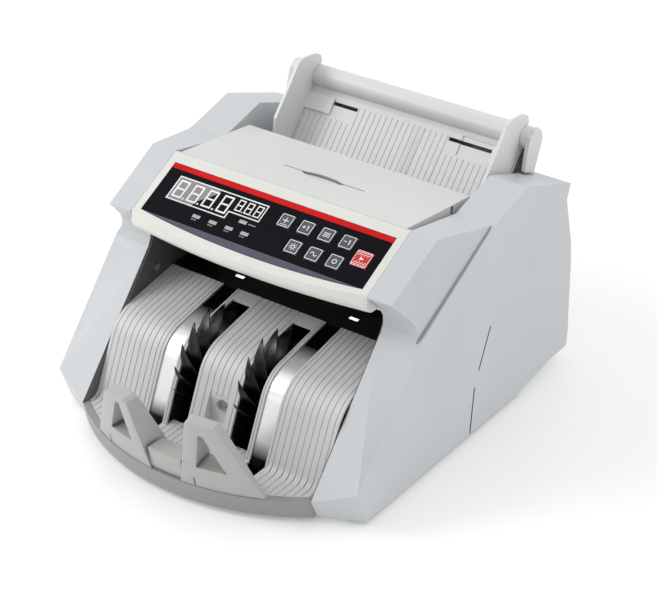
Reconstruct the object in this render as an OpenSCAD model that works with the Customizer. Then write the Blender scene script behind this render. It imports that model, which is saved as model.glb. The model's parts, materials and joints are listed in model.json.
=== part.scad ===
// Banknote counting machine: a desktop counter with a rear hopper, a sloping
// control panel and a front stacker with two impeller wheels.
// Millimetres. +X is the machine's right as seen from the front, +Y runs to
// the rear, +Z is up. The origin lies on the table under the middle of the body.

/* [Body] */
// Overall width over the two side covers
body_w = 280; // [260:1:300]
// Clear width between the two side covers
inner_w = 215; // [205:1:225]
// Wall thickness of the moulded covers
wall = 2.5; // [2:0.1:4]
// Height of the rubber feet
foot_h = 4; // [3:0.5:8]
// Radius of each rubber foot
foot_r = 9; // [6:0.5:12]
// Radius in plan of the bowed front lip
lip_r = 180; // [150:1:260]
// Height of the stacker floor above the table
deck_z = 19.4; // [16:0.1:26]

/* [Control panel] */
// Slope of the panel from the horizontal, degrees
panel_tilt = 27.92; // [15:0.01:40]
// Side of a square key cap
key_side = 11.4; // [8:0.1:14]
// Side of the start key cap
start_side = 13.6; // [10:0.1:16]
// Travel of a key
key_travel = 0.5; // [0.2:0.1:1]
// Height of a key cap above the overlay
key_proud = 0.6; // [0.6:0.1:1.5]

/* [Stacker] */
// Tip radius of an impeller wheel
wheel_r = 44; // [38:0.5:45]
// Width of an impeller wheel
wheel_w = 13; // [8:0.5:15]
// Number of blades on an impeller wheel
blade_count = 15; // [8:1:20]
// Radius of the bend in the stacker plates
plate_bend_r = 32; // [20:1:45]
// Depth of the fine grooves in the plates
groove_d = 0.6; // [0.3:0.1:1]
// Width of the fine grooves in the plates
groove_w = 0.9; // [0.5:0.1:1.5]
// Height of the two note stops above the lip
stop_h = 60; // [52:1:70]

/* [Hopper] */
// Slope of the hopper tray from the horizontal, degrees
tray_tilt = 48.4; // [35:0.1:60]
// Radius of the rolled tube along the tray's top edge
tube_r = 9; // [6:0.5:12]
// Height of the note guides above the tray
guide_h = 33; // [20:1:40]
// Rest position of the left guide's inner face from the centre
guide_left_x = 90; // [80:1:101]
// Rest position of the right guide's inner face from the centre
guide_right_x = 101; // [80:1:101]

/* [Drive] */
// Radius of the drive shafts
shaft_r = 3; // [2.5:0.5:5]
// Radial clearance between a shaft and its bearing
bearing_gap = 0.05; // [0.02:0.01:0.1]
// Radius of the feed roller tyres
feed_r = 13; // [10:0.5:16]
// Radius of the counting roller tyres
count_r = 15; // [10:0.5:18]

/* [Hidden] */
$fn = 64;

half_w = body_w / 2;
half_in = inner_w / 2;
fit = 0.2;
through = 1;

// side outline of the covers, (y, z)
side_outline = [
  [-146, foot_h], [-55, 111.1], [-49.5, 117.5], [-46.2, 124], [-46.6, 131],
  [-50.5, 138], [-62, 150], [-65.5, 153.2], [-66.8, 155.3], [-13, 183.8],
  [45, 172.6], [90.6, 184.9], [155.7, 161.2], [151.4, 148.6], [162.2, 109.1],
  [164.6, 90.3], [166.8, 34.6], [167.6, 26.7], [166.4, 11.4], [141.4, 10.9],
  [93, foot_h]
];
// side outline of the hollow inside a cover, (y, z)
side_hollow = [
  [-112, foot_h - through], [-112, 38], [-52.8, 108.5], [-47, 115.8], [-43.2, 124],
  [-43.8, 132.2], [-48, 139.8], [-60, 152], [-60.5, 154.6], [-12.8, 180.2],
  [45, 169.2], [90.4, 181.6], [151.8, 159.3], [148.2, 148.4], [159.3, 108.5],
  [161.6, 90.1], [163.8, 34.4], [164.6, 26.7], [163.6, 14.2], [138, 14.2],
  [92, foot_h - through]
];
// the part of the side outline above the shadow step
upper_zone = [[-80, 100.2], [42.3, 172], [62, 184], [30, 210], [-90, 210], [-110, 130]];
// point and direction of the outer face of the upper cheek
cheek_point = [128.6, -66, 154.4];
cheek_turn = [0, -10.24, -6.95];
// point and direction of the bevelled corner beside the lip
corner_point = [107, -132.6, 19.6];
corner_turn = [0, 18.72, -64.76];
cut_box = 400;
seam_d = 1.2;
seam_w = 1.6;

lip_y = 12.1;
stop_lean = 10;
stop_x = [-39.5, 46.8];
stop_y = -152;
rail_h = 19;
slab_top = 6.5;

// panel frame: origin on the crease at the top of the panel
panel_y = -13;
panel_z = 183.8;
overlay_t = 0.8;
overlay_bow_r = 788;
key_stem_r = 2.5;
key_stem = 3.4;
key_gap = 0.25;
row_1 = 25.6;
row_2 = 43.6;
start_pos = [86.8, 34.5];
window_t = 1.2;

// stacker plate path: the tangent points of the bend and its centre
plate_top = [-24, 91];
plate_top_tilt = 11;
plate_foot_tilt = 65.5;
plate_corner = [-91.46, 77.9];
plate_t = 2;
plate_tan = plate_bend_r * tan((plate_foot_tilt - plate_top_tilt) / 2);
bend_start = plate_corner + plate_tan * [cos(plate_top_tilt), sin(plate_top_tilt)];
bend_end = plate_corner - plate_tan * [cos(plate_foot_tilt), sin(plate_foot_tilt)];
bend_steps = 18;
bend_centre = bend_start + plate_bend_r * [sin(plate_top_tilt), -cos(plate_top_tilt)];
side_plate_in = 55.4;
strip_in = 41.4;
groove_pitch = 5.2;
side_groove_x = 61;
side_grooves = 9;
fillet_r = 9;
slot_in = 19.7;
slot_out = 37.5;
slot_top_y = -35;
slot_foot_y = -108.9;
strip_drop = 1.4;

pocket_y = -103;
pocket_screw = [5.7, 46.5];

lamp_x = [-50, 57];
lamp_half = 4;

wheel_y = -67.2;
wheel_z = 52;
wheel_x = 28.6;
hub_r = 15;
blade_root_r = 12.5;
blade_full_r = 31;
blade_tip_w = 1.5;
wheel_turns = [2, 15];
blade_sweep = 58;
blade_half_t = 0.9;
blade_steps = 8;

count_y = 22;
count_z = 74;
feed_y = 66;
feed_z = 92;
roller_x = 31;
tyre_w = 12;
main_motor_y = 62;
main_motor_z = 38;
stack_motor_y = -8;
stack_motor_z = 34;
pulley_r = 12;
small_pulley_r = 7;
belt_t = 1.2;
belt_w = 5;
belt_gap = 0.05;
belt_steps = 30;

plate_steel = 1.2;
chassis_x = 106;
chassis_foot_y = -116.2;

tray_y = 138;
tray_z = 184;
tray_t = 2.5;
tray_len = 94;
tube_y = 146.2;
tube_z = 193.4;
guide_t = 2.5;
guide_slot_u = 6;

rocker_pin = [159.25, 31];

cover_y = -11.1;
cover_z = 181.9;
cover_tilt = 6.2;
cover_len = 82.5;
cover_t = 3;
cover_half = 103;
pin_r = 1;
pin_gap = 0.05;
pin_reach = 1.6;

module mirror_x() {
  children();
  mirror([1, 0, 0]) children();
}

// a shape drawn in (y, z) and extruded along X from x0 to x1
module along_x(x0, x1) {
  translate([x0, 0, 0]) rotate([90, 0, 90]) linear_extrude(x1 - x0) children();
}

module rod_x(x0, x1, y, z, r) {
  translate([x0, y, z]) rotate([0, 90, 0]) cylinder(h = x1 - x0, r = r);
}

module box(x0, x1, y0, y1, z0, z1) {
  translate([x0, y0, z0]) cube([x1 - x0, y1 - y0, z1 - z0]);
}

// everything outside the inclined outer face of the upper cheek
module beyond_cheek(inset) {
  intersection() {
    along_x(half_in, half_w + 20) polygon(upper_zone);
    translate(cheek_point) rotate(cheek_turn)
      translate([-inset, -cut_box / 2, -cut_box / 2]) cube([60, cut_box, cut_box]);
  }
}

module beyond_corner(inset) {
  translate(corner_point) rotate(corner_turn)
    translate([-inset, -cut_box / 2, -cut_box / 2]) cube([90, cut_box, cut_box]);
}

module side_seam(y, z, tilt, len) {
  translate([half_w - seam_d, y, z]) rotate([tilt, 0, 0])
    cube([2 * seam_d, seam_w, len]);
}

module side_cover() {
  difference() {
    along_x(half_in, half_w) polygon(side_outline);
    beyond_cheek(0);
    beyond_corner(0);
    difference() {
      along_x(half_in + wall, half_w - wall) polygon(side_hollow);
      beyond_cheek(3);
      beyond_corner(3);
    }
    side_seam(32.1, 56.2, -24.3, 35);
    side_seam(23.3, 4.7, -5.8, 39.3);
    rod_x(half_in - 1, half_in + pin_reach + 0.1, cover_y, cover_z, pin_r + pin_gap);
  }
}

module side_cover_left() {
  color([0.82, 0.83, 0.84]) mirror([1, 0, 0]) side_cover();
}

module side_cover_right() {
  color([0.82, 0.83, 0.84]) side_cover();
}

module plan_front(r) {
  translate([0, lip_y]) circle(r = r, $fn = 180);
}

module base_pan() {
  half_base = half_in - fit;
  rear_y = 158;
  color([0.82, 0.83, 0.84]) {
    difference() {
      union() {
        translate([0, 0, foot_h]) linear_extrude(slab_top - foot_h) intersection() {
          plan_front(lip_r - 3);
          translate([-half_base, -200]) square([2 * half_base, 200 + rear_y]);
        }
        intersection() {
          difference() {
            translate([0, lip_y, foot_h]) cylinder(h = deck_z - foot_h, r1 = lip_r - 2.5,
                                                   r2 = lip_r, $fn = 180);
            translate([0, lip_y, slab_top]) cylinder(h = 40, r = lip_r - 6, $fn = 180);
          }
          box(-half_base, half_base, -200, -126.5, 0, 60);
        }
        mirror_x() box(half_base - 4, half_base, -126.5, chassis_foot_y - 0.4, slab_top, deck_z - plate_t);
      }
      mirror_x() for (y = [-105, 135])
        translate([88, y, 0]) cylinder(h = 10, r = 2.6);
    }
  }
}

module stacker_deck() {
  color([0.78, 0.79, 0.80]) difference() {
    translate([0, 0, deck_z - plate_t]) linear_extrude(plate_t) difference() {
      intersection() {
        plan_front(lip_r - 6.1);
        translate([-half_in + fit + 0.1, -200]) square([2 * (half_in - fit - 0.1), 200 + slot_foot_y]);
      }
      for (s = [-1, 1])
        translate([s * (strip_in + side_plate_in) / 2 - 7, -150]) square([14, 60]);
      translate([-200, -117.6]) square([200 - slot_out, 20]);
      translate([slot_out, -117.6]) square([200 - slot_out, 20]);
      translate([-slot_in, -117.6]) square([2 * slot_in, 20]);
    }
    mirror_x() for (k = [0 : side_grooves - 1])
      translate([side_groove_x + groove_pitch * k, -200, deck_z - groove_d])
        cube([groove_w, 84, 2]);
    for (k = [-7 : 7])
      translate([groove_pitch * k - groove_w / 2, -152, deck_z - groove_d])
        cube([groove_w, 46, 2]);
  }
}

function ray(a) = [cos(a), sin(a)];

function arc_points(c, r, a0, a1, steps) =
  [for (i = [0 : steps]) c + r * ray(a0 + (a1 - a0) * i / steps)];

// the bent face sunk by t, from its top end round the bend to its foot
function face_line(t, top_len, foot_len) =
  let (r = plate_bend_r - t, a0 = 90 + plate_top_tilt, a1 = 90 + plate_foot_tilt)
  concat(
    [bend_centre + r * ray(a0) + top_len * ray(plate_top_tilt)],
    arc_points(bend_centre, r, a0, a1, bend_steps),
    [bend_centre + r * ray(a1) - foot_len * ray(plate_foot_tilt)]
  );

function reversed(list) = [for (i = [len(list) - 1 : -1 : 0]) list[i]];

// the area under the bent face sunk by t
module under_face(t, top_len, foot_len) {
  polygon(concat(face_line(t, top_len, foot_len), [
    bend_centre - foot_len * ray(plate_foot_tilt), bend_centre + top_len * ray(plate_top_tilt)
  ]));
}

// outline of a bent sheet that lies between t0 and t1 below the nominal face
module bent_sheet(t0, t1, top_y, foot_z) {
  top_len = (top_y - bend_start[0]) / cos(plate_top_tilt);
  foot_len = (bend_end[1] - foot_z) / sin(plate_foot_tilt) + 3;
  difference() {
    polygon(concat(face_line(t0, top_len, foot_len), reversed(face_line(t1, top_len, foot_len))));
    translate([-200, foot_z - 20]) square([200, 20]);
  }
}

module plate_grooves(x0, pitch, count) {
  for (k = [0 : count - 1])
    along_x(x0 + k * pitch, x0 + k * pitch + groove_w)
      bent_sheet(-0.5, groove_d, plate_top[0] + 1, deck_z - 1);
}

module stacker_plate_side() {
  difference() {
    along_x(side_plate_in, chassis_x)
      bent_sheet(0, plate_t, plate_top[0], deck_z);
    plate_grooves(57.2, groove_w, 1);
    plate_grooves(side_groove_x, groove_pitch, side_grooves);
  }
  difference() {
    along_x(57.2 + groove_w, chassis_x) foot_fillet();
    for (k = [0 : side_grooves - 1])
      translate([side_groove_x + k * groove_pitch, -200, deck_z - 1]) cube([groove_w, 120, 20]);
  }
}

// the hollow fillet between the foot of a plate and the deck
module foot_fillet() {
  foot_y = bend_end[0] - (bend_end[1] - deck_z) / tan(plate_foot_tilt);
  reach = fillet_r * tan(plate_foot_tilt / 2);
  centre = [foot_y - reach, deck_z + fillet_r];
  polygon(concat(
    arc_points(centre, fillet_r, -90, plate_foot_tilt - 90, bend_steps),
    [[foot_y + 0.4, deck_z]]
  ));
}

module stacker_plate_left() {
  color([0.78, 0.79, 0.80]) mirror([1, 0, 0]) stacker_plate_side();
}

module stacker_plate_right() {
  color([0.78, 0.79, 0.80]) stacker_plate_side();
}

module stacker_plate_centre() {
  pocket_x = [-6, 12];
  pocket_z = [30, 53];
  pocket_t = 1.5;
  color([0.78, 0.79, 0.80]) {
    difference() {
      along_x(-strip_in + fit, strip_in - fit) bent_sheet(0, plate_t, plate_top[0], deck_z);
      mirror_x() box(slot_in, slot_out, -140, slot_top_y, 0, 120);
      plate_grooves(-2 * groove_pitch - groove_w / 2, groove_pitch, 5);
      mirror_x() plate_grooves(16.6, 1, 1);
      mirror_x() plate_grooves(38.8, 1, 1);
      box(pocket_x[0], pocket_x[1], -140, -80, pocket_z[0], pocket_z[1]);
    }
    difference() {
      along_x(pocket_x[0] - pocket_t, pocket_x[1] + pocket_t) intersection() {
        under_face(plate_t / 2, 10, 60);
        translate([-130, pocket_z[0] - pocket_t])
          square([130 + pocket_y + pocket_t, pocket_z[1] - pocket_z[0] + 2 * pocket_t]);
      }
      box(pocket_x[0], pocket_x[1], -140, pocket_y, pocket_z[0], pocket_z[1]);
      translate([pocket_screw[0], pocket_y - 1, pocket_screw[1]]) rotate([-90, 0, 0])
        cylinder(h = 10, r = 2.1);
    }
  }
}

module chute_strips() {
  strip_t = 0.8;
  run_out_y = -148;
  color([0.85, 0.86, 0.88]) mirror_x() along_x(strip_in + fit, side_plate_in - fit) {
    bent_sheet(strip_drop, strip_drop + strip_t, plate_top[0] - 1, slab_top);
    translate([run_out_y, slab_top]) square([-121 - run_out_y, strip_t]);
  }
}

// a dark trough behind each wheel, open towards the slot in the plate
module wheel_wells() {
  liner_t = 1.2;
  floor_t = 0.6;
  back_y = -17;
  top_z = 81.5;
  in_x = slot_in - 0.3;
  out_x = slot_out + 0.3;
  front_y = slot_foot_y - 0.4;
  color([0.03, 0.03, 0.03]) mirror_x() difference() {
    along_x(in_x - liner_t, out_x + liner_t) intersection() {
      union() {
        under_face(plate_t + 0.3, 50, 90);
        translate([-30, slab_top]) square([30 + back_y, top_z - slab_top]);
      }
      translate([front_y, slab_top]) square([back_y - front_y, 80]);
      union() {
        translate([front_y, slab_top]) square([back_y - front_y, deck_z - plate_t - 0.3 - slab_top]);
        translate([-107, slab_top]) square([back_y + 107, 80]);
      }
    }
    box(in_x, out_x, front_y + liner_t, back_y - liner_t, slab_top + floor_t, 121);
    rod_x(in_x, out_x, wheel_y, wheel_z, wheel_r + 0.8);
    rod_x(0, 60, wheel_y, wheel_z, shaft_r + 1);
  }
}

// the room above the deck in which the stops stand, its front leaning out from the lip
module stop_room(inset) {
  translate([0, lip_y, deck_z])
    cylinder(h = stop_h + 5, r1 = lip_r - inset,
             r2 = lip_r - inset + (stop_h + 5) * tan(stop_lean), $fn = 180);
}

// one leaning note stop with its three-cornered opening: the inner leg is a wedge
// that grows thicker towards its foot, the outer leg is thin
module note_stop(top) {
  yaw = 9.9;
  foot_d = 10;
  front_d = 14;
  rotate([0, 0, yaw]) difference() {
    rotate([90 + stop_lean, 0, 0]) difference() {
      intersection() {
        translate([0, 0, -foot_d]) linear_extrude(foot_d + front_d) polygon([
          [-32.8, -4], [35.3, -4], [5.2, top - 4], [2, top - 1.5], [-17, top], [-20.4, top - 2]
        ]);
        along_x(-40, 40) polygon([
          [-4, front_d], [top, front_d], [top, 0], [rail_h, -foot_d], [-4, -foot_d]
        ]);
      }
      translate([0, 0, -foot_d - 1]) linear_extrude(foot_d + 1) polygon([
        [13.5, -5], [11.5, rail_h], [-6, 50], [-6, top + 1], [40, top + 1], [40, -5]
      ]);
    }
    rotate([90, 0, 0]) translate([0, 0, -20]) linear_extrude(45)
      polygon([[-16.4, rail_h], [7.5, rail_h], [-7.2, 50.5], [-11, 50.5]]);
  }
}

// the two stops and the low rail between them, standing on the lip
module note_stops() {
  rail_d = 15;
  slit_h = 8;
  color([0.80, 0.81, 0.81]) difference() {
    union() {
      intersection() {
        union() {
          translate([stop_x[0], stop_y, deck_z]) mirror([1, 0, 0]) note_stop(stop_h);
          translate([stop_x[1], stop_y, deck_z]) note_stop(stop_h + 4);
        }
        stop_room(0.8);
      }
      intersection() {
        stop_room(2.6);
        difference() {
          translate([-11, -170, deck_z]) cube([30, 30, rail_h]);
          translate([0, lip_y, deck_z - 1]) cylinder(h = 40, r = lip_r - rail_d, $fn = 180);
        }
      }
    }
    for (p = [[-55.4, -159], [28.9, -165]])
      translate([p[0], p[1] - 4, deck_z - 1]) cube([0.9, 6, slit_h + 1]);
  }
}

module in_panel() {
  translate([0, panel_y, panel_z]) rotate([panel_tilt, 0, 0]) children();
}

// the outline of the overlay in the panel's own plane
module overlay_outline(grow) {
  intersection() {
    union() {
      translate([-100.8 - grow, -59.6]) square([201.6 + 2 * grow, 50.2 + grow]);
      translate([-97.8, -62.6 - grow]) square([195.6, 10]);
      for (x = [-97.8, 97.8]) translate([x, -59.6]) circle(r = 3 + grow);
    }
    translate([0, -62.6 + overlay_bow_r]) circle(r = overlay_bow_r + grow, $fn = 720);
  }
}

module key_square(x, s, side) {
  translate([x - side / 2, -s - side / 2]) square(side);
}

module key_field(gap) {
  for (x = [14.4, 32.5, 50.8, 69]) key_square(x, row_1, key_side + 2 * gap);
  for (x = [32.5, 50.8, 69]) key_square(x, row_2, key_side + 2 * gap);
  key_square(start_pos[0], start_pos[1], start_side + 2 * gap);
}

module window_outline(gap) {
  translate([-88.5 - gap, -34.2 - gap]) square([83.5 + 2 * gap, 15.6 + 2 * gap]);
  translate([-88.5 - gap, -40.4 - gap]) square([56.2 + 2 * gap, 10 + 2 * gap]);
}

module lamp_field(gap) {
  for (p = [[-54.3, 46.8], [-38.8, 46.8], [-23.8, 46.8], [-9.4, 46.8], [-16.6, 38.2]])
    translate([p[0] - 3.2 - gap, -p[1] - 1.2 - gap])
      square([6.4 + 2 * gap, 2.4 + 2 * gap]);
}

module control_bezel() {
  nose_r = 640;
  half_bezel = half_in - 0.2;
  color([0.86, 0.86, 0.84]) difference() {
    intersection() {
      along_x(-half_bezel, half_bezel) polygon([
        [-13, 183.8], [-90, 143], [-90, 139.6], [-46.8, 139.6], [-46.8, 134.2],
        [-44.8, 134.2], [-13, 150]
      ]);
      translate([0, nose_r - 75.6, 0]) rotate_extrude($fn = 720) {
        translate([0, 100]) square([nose_r - 8, 100]);
        translate([nose_r - 8, 147.6]) circle(r = 8, $fn = 120);
        translate([nose_r - 9, 147.6]) square([8.4, 20]);
      }
    }
    along_x(-half_bezel + wall, half_bezel - wall) polygon([
      [-10, 182], [-10, 120], [-44, 120], [-44, 140], [-46, 142.2], [-63, 142.2],
      [-64.5, 145], [-64.5, 152.4], [-14, 179.2]
    ]);
    in_panel() translate([0, 0, -overlay_t]) linear_extrude(3) overlay_outline(fit);
    in_panel() translate([0, 0, -8]) linear_extrude(9) window_outline(-1.4);
    in_panel() for (p = key_centres()) translate([p[0], -p[1], -8])
      cylinder(h = 9, r = key_stem_r + key_gap);
    in_panel() translate([0, 0, -8]) linear_extrude(9) lamp_field(-0.6);
  }
}

function key_centres() = concat(
  [for (x = [14.4, 32.5, 50.8, 69]) [x, row_1]],
  [for (x = [32.5, 50.8, 69]) [x, row_2]],
  [start_pos]
);

module panel_overlay() {
  color([0.09, 0.09, 0.13]) in_panel() translate([0, 0, -overlay_t])
    linear_extrude(overlay_t) difference() {
      overlay_outline(0);
      window_outline(0.1);
      key_field(key_gap);
      lamp_field(0.05);
    }
}

module display_window() {
  color([0.12, 0.12, 0.15]) in_panel() translate([0, 0, -overlay_t])
    linear_extrude(overlay_t) window_outline(0);
}

module indicator_windows() {
  color([0.75, 0.76, 0.80]) in_panel() translate([0, 0, -overlay_t])
    linear_extrude(overlay_t) lamp_field(0);
}

module display_board() {
  color([0.10, 0.32, 0.18]) in_panel() {
    difference() {
      translate([-96, -57, -10.2]) cube([192, 44, 1.6]);
      for (p = key_centres()) translate([p[0], -p[1], -11])
        cylinder(h = 3, r = key_stem_r + key_gap);
    }
    translate([-86, -39, -8.6]) cube([52, 18, 4.6]);
    translate([-31, -33, -8.6]) cube([24, 12, 4.6]);
    for (x = [-92, 92], s = [16, 54]) translate([x, -s, -8.6]) cylinder(h = 4.93, r = 2.5);
  }
}

// a cap that lies in the overlay with its stem through the bezel
module key(x, s, side) {
  in_panel() translate([x, -s, 0]) {
    translate([-side / 2, -side / 2, -overlay_t + key_travel + 0.05])
      cube([side, side, key_proud + overlay_t - key_travel - 0.05]);
    translate([0, 0, -key_stem - 2]) cylinder(h = key_stem + 2, r = key_stem_r);
  }
}

module key_add() {
  color([0.33, 0.35, 0.38]) key(14.4, row_1, key_side);
}

module key_plus() {
  color([0.33, 0.35, 0.38]) key(32.5, row_1, key_side);
}

module key_batch() {
  color([0.33, 0.35, 0.38]) key(50.8, row_1, key_side);
}

module key_minus() {
  color([0.33, 0.35, 0.38]) key(69, row_1, key_side);
}

module key_ir() {
  color([0.33, 0.35, 0.38]) key(32.5, row_2, key_side);
}

module key_uv() {
  color([0.33, 0.35, 0.38]) key(50.8, row_2, key_side);
}

module key_clear() {
  color([0.33, 0.35, 0.38]) key(69, row_2, key_side);
}

module key_start() {
  color([0.78, 0.16, 0.16]) key(start_pos[0], start_pos[1], start_side);
}

module sensor_bar() {
  color([0.03, 0.03, 0.035]) difference() {
    union() {
      along_x(-chassis_x + 0.2, chassis_x - 0.2)
        polygon([[-23.6, 82], [-23.6, 90.8], [2, 94], [2, 92], [-21, 88.5], [-21, 82]]);
      along_x(-chassis_x + 0.2, chassis_x - 0.2)
        polygon([[2, 91], [2, 94], [-8, 128], [-43.6, 133.6], [-43.6, 131.4], [-10, 126],
                 [0, 92]]);
    }
    for (x = lamp_x) box(x - lamp_half, x + lamp_half, -12, -9, 80, 100);
  }
}

module lamp_windows() {
  color([0.98, 0.98, 0.98]) for (x = lamp_x)
    along_x(x - lamp_half, x + lamp_half)
      polygon([[-12, 92.05], [-12, 90.2], [-9, 90.6], [-9, 92.5]]);
}

module chassis_plate() {
  difference() {
    along_x(chassis_x, chassis_x + plate_steel) polygon([
      [chassis_foot_y, slab_top], [chassis_foot_y, deck_z + 0.3], [-130.7, deck_z + 0.3],
      [-53.2, 111], [-47.9, 117.9], [-44.6, 124.3], [-45, 131], [-45, 133.6], [-20, 134],
      [-18, 146], [60, 150],
      [66, 140], [104, 140], [120, 152], [146, 152], [154, 110], [156, 30], [156, slab_top]
    ]);
    for (p = bearing_spots()) rod_x(chassis_x - 1, chassis_x + 5, p[0], p[1], shaft_r + 2.5);
    for (p = rod_spots) rod_x(chassis_x - 1, chassis_x + 5, p[0], p[1], 2);
    rod_x(chassis_x - 1, chassis_x + 5, wall_screw[0], wall_screw[1], 1.5);
  }
}

function bearing_spots() = [[wheel_y, wheel_z], [count_y, count_z], [feed_y, feed_z]];
rod_spots = [[20, 16], [142, 50], [140, 132]];
wall_screw = [-44, 98];

module chassis_plate_left() {
  color([0.34, 0.35, 0.36]) mirror([1, 0, 0]) chassis_plate();
}

module chassis_plate_right() {
  color([0.34, 0.35, 0.36]) chassis_plate();
}

module tie_rods() {
  color([0.72, 0.73, 0.75]) for (p = rod_spots)
    rod_x(-chassis_x, chassis_x, p[0], p[1], 4);
}

module bearings() {
  color([0.70, 0.62, 0.38]) mirror_x() for (p = bearing_spots()) difference() {
    union() {
      rod_x(chassis_x - 2, chassis_x + plate_steel, p[0], p[1], shaft_r + 2.5);
      rod_x(chassis_x - 2, chassis_x, p[0], p[1], shaft_r + 4);
    }
    rod_x(chassis_x - 5, chassis_x + 5, p[0], p[1], shaft_r + bearing_gap);
  }
}

module shaft(p) {
  rod_x(-chassis_x - plate_steel, chassis_x + plate_steel, p[0], p[1], shaft_r);
}

module tube_x(x0, x1, p, r_out, r_in) {
  difference() {
    rod_x(x0, x1, p[0], p[1], r_out);
    rod_x(x0 - 1, x1 + 1, p[0], p[1], r_in);
  }
}

module stacker_shaft() {
  color([0.75, 0.76, 0.78]) shaft(bearing_spots()[0]);
}

// the middle line of a blade, at t from root (0) to tip (1)
function blade_line(t) =
  (blade_root_r + (wheel_r - blade_root_r) * t) * ray(-blade_sweep * pow(t, 1.25));

// a point on one face of a blade
function blade_point(t, face) =
  let (run = blade_line(t + 0.01) - blade_line(max(0, t - 0.01)))
  blade_line(t) + face * blade_half_t * (1 - t) / norm(run) * [-run[1], run[0]];

// one pointed blade that trails round the wheel from its root to its tip
module blade() {
  polygon(concat(
    [for (i = [0 : blade_steps]) blade_point(i / blade_steps, 1)],
    [for (i = [blade_steps - 1 : -1 : 0]) blade_point(i / blade_steps, -1)]
  ));
}

// a hub with blades that narrow to a point along one rim
module impeller(x, turn) {
  translate([x - wheel_w / 2, wheel_y, wheel_z]) rotate([90, 0, 90]) difference() {
    union() {
      cylinder(h = wheel_w, r = hub_r, $fn = 90);
      intersection() {
        union() for (k = [0 : blade_count - 1])
          rotate([0, 0, turn + k * 360 / blade_count]) linear_extrude(wheel_w) blade();
        rotate_extrude($fn = 90) polygon([
          [0, 0], [wheel_r + 1, 0], [wheel_r + 1, blade_tip_w], [blade_full_r, wheel_w],
          [0, wheel_w]
        ]);
      }
    }
    translate([0, 0, -through]) cylinder(h = wheel_w + 2 * through, r = shaft_r, $fn = 90);
  }
}

module impeller_left() {
  color([0.10, 0.10, 0.12]) impeller(-wheel_x, wheel_turns[0]);
}

module impeller_right() {
  color([0.10, 0.10, 0.12]) impeller(wheel_x, wheel_turns[1]);
}

module pulley(x, p, r) {
  tube_x(x - 3.4, x + 3.4, p, r, shaft_r);
  tube_x(x - 4.4, x - 3.4, p, r + 2, shaft_r);
  tube_x(x + 3.4, x + 4.4, p, r + 2, shaft_r);
}

module stacker_pulley() {
  color([0.15, 0.15, 0.16]) pulley(-96, bearing_spots()[0], pulley_r);
}

module count_shaft() {
  color([0.75, 0.76, 0.78]) shaft(bearing_spots()[1]);
}

module count_tyres() {
  color([0.16, 0.30, 0.50]) mirror_x()
    tube_x(roller_x - tyre_w / 2, roller_x + tyre_w / 2, bearing_spots()[1], count_r, shaft_r);
}

module count_pulleys() {
  color([0.15, 0.15, 0.16]) {
    pulley(96, bearing_spots()[1], pulley_r);
    pulley(84, bearing_spots()[1], pulley_r);
  }
}

module feed_shaft() {
  color([0.75, 0.76, 0.78]) shaft(bearing_spots()[2]);
}

module feed_tyres() {
  color([0.16, 0.16, 0.17]) mirror_x()
    tube_x(roller_x - tyre_w / 2, roller_x + tyre_w / 2, bearing_spots()[2], feed_r, shaft_r);
}

module feed_pulley() {
  color([0.15, 0.15, 0.16]) pulley(84, bearing_spots()[2], pulley_r);
}

// a closed belt around two pulleys, in the (y, z) plane
module belt(x, p, rp, q, rq) {
  along_x(x - belt_w / 2, x + belt_w / 2) difference() {
    belt_area(p, rp + belt_gap + belt_t, q, rq + belt_gap + belt_t);
    belt_area(p, rp + belt_gap, q, rq + belt_gap);
  }
}

// the area inside a belt: an arc round each pulley, joined by the two straight runs
module belt_area(p, rp, q, rq) {
  run = norm(q - p);
  turn = atan2(q[1] - p[1], q[0] - p[0]);
  open = acos((rp - rq) / run);
  polygon(concat(
    arc_points(p, rp, turn + open, turn + 360 - open, belt_steps),
    arc_points(q, rq, turn - open, turn + open, belt_steps)
  ));
}

module feed_belt() {
  color([0.08, 0.08, 0.08])
    belt(84, bearing_spots()[1], pulley_r, bearing_spots()[2], pulley_r);
}

module main_belt() {
  color([0.08, 0.08, 0.08])
    belt(96, bearing_spots()[1], pulley_r, [main_motor_y, main_motor_z], small_pulley_r);
}

module stacker_belt() {
  color([0.08, 0.08, 0.08])
    belt(-96, bearing_spots()[0], pulley_r, [stack_motor_y, stack_motor_z], small_pulley_r);
}

module motor(x0, x1, y, z, r, side) {
  rod_x(x0, x1, y, z, r);
  box(x0 + 4, x1 - 4, y - r * 0.7, y + r * 0.7, slab_top, z);
  rod_x(side > 0 ? x1 : x0 - 3, side > 0 ? x1 + 3 : x0, y, z, 7);
}

module main_motor() {
  color([0.55, 0.56, 0.58]) difference() {
    motor(26, 84, main_motor_y, main_motor_z, 26, 1);
    rod_x(74, 100, main_motor_y, main_motor_z, shaft_r + bearing_gap);
  }
}

module main_motor_pulley() {
  color([0.72, 0.73, 0.75]) {
    rod_x(76, 101, main_motor_y, main_motor_z, shaft_r);
    pulley(96, [main_motor_y, main_motor_z], small_pulley_r);
  }
}

module stacker_motor() {
  color([0.55, 0.56, 0.58]) difference() {
    motor(-84, -44, stack_motor_y, stack_motor_z, 18, -1);
    rod_x(-100, -76, stack_motor_y, stack_motor_z, shaft_r + bearing_gap);
  }
}

module stacker_motor_pulley() {
  color([0.72, 0.73, 0.75]) {
    rod_x(-101, -78, stack_motor_y, stack_motor_z, shaft_r);
    pulley(-96, [stack_motor_y, stack_motor_z], small_pulley_r);
  }
}

// tray frame: origin on the tray's face under the tube, -Y running down the slope
module in_tray() {
  translate([0, tray_y, tray_z]) rotate([tray_tilt, 0, 0]) children();
}

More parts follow.
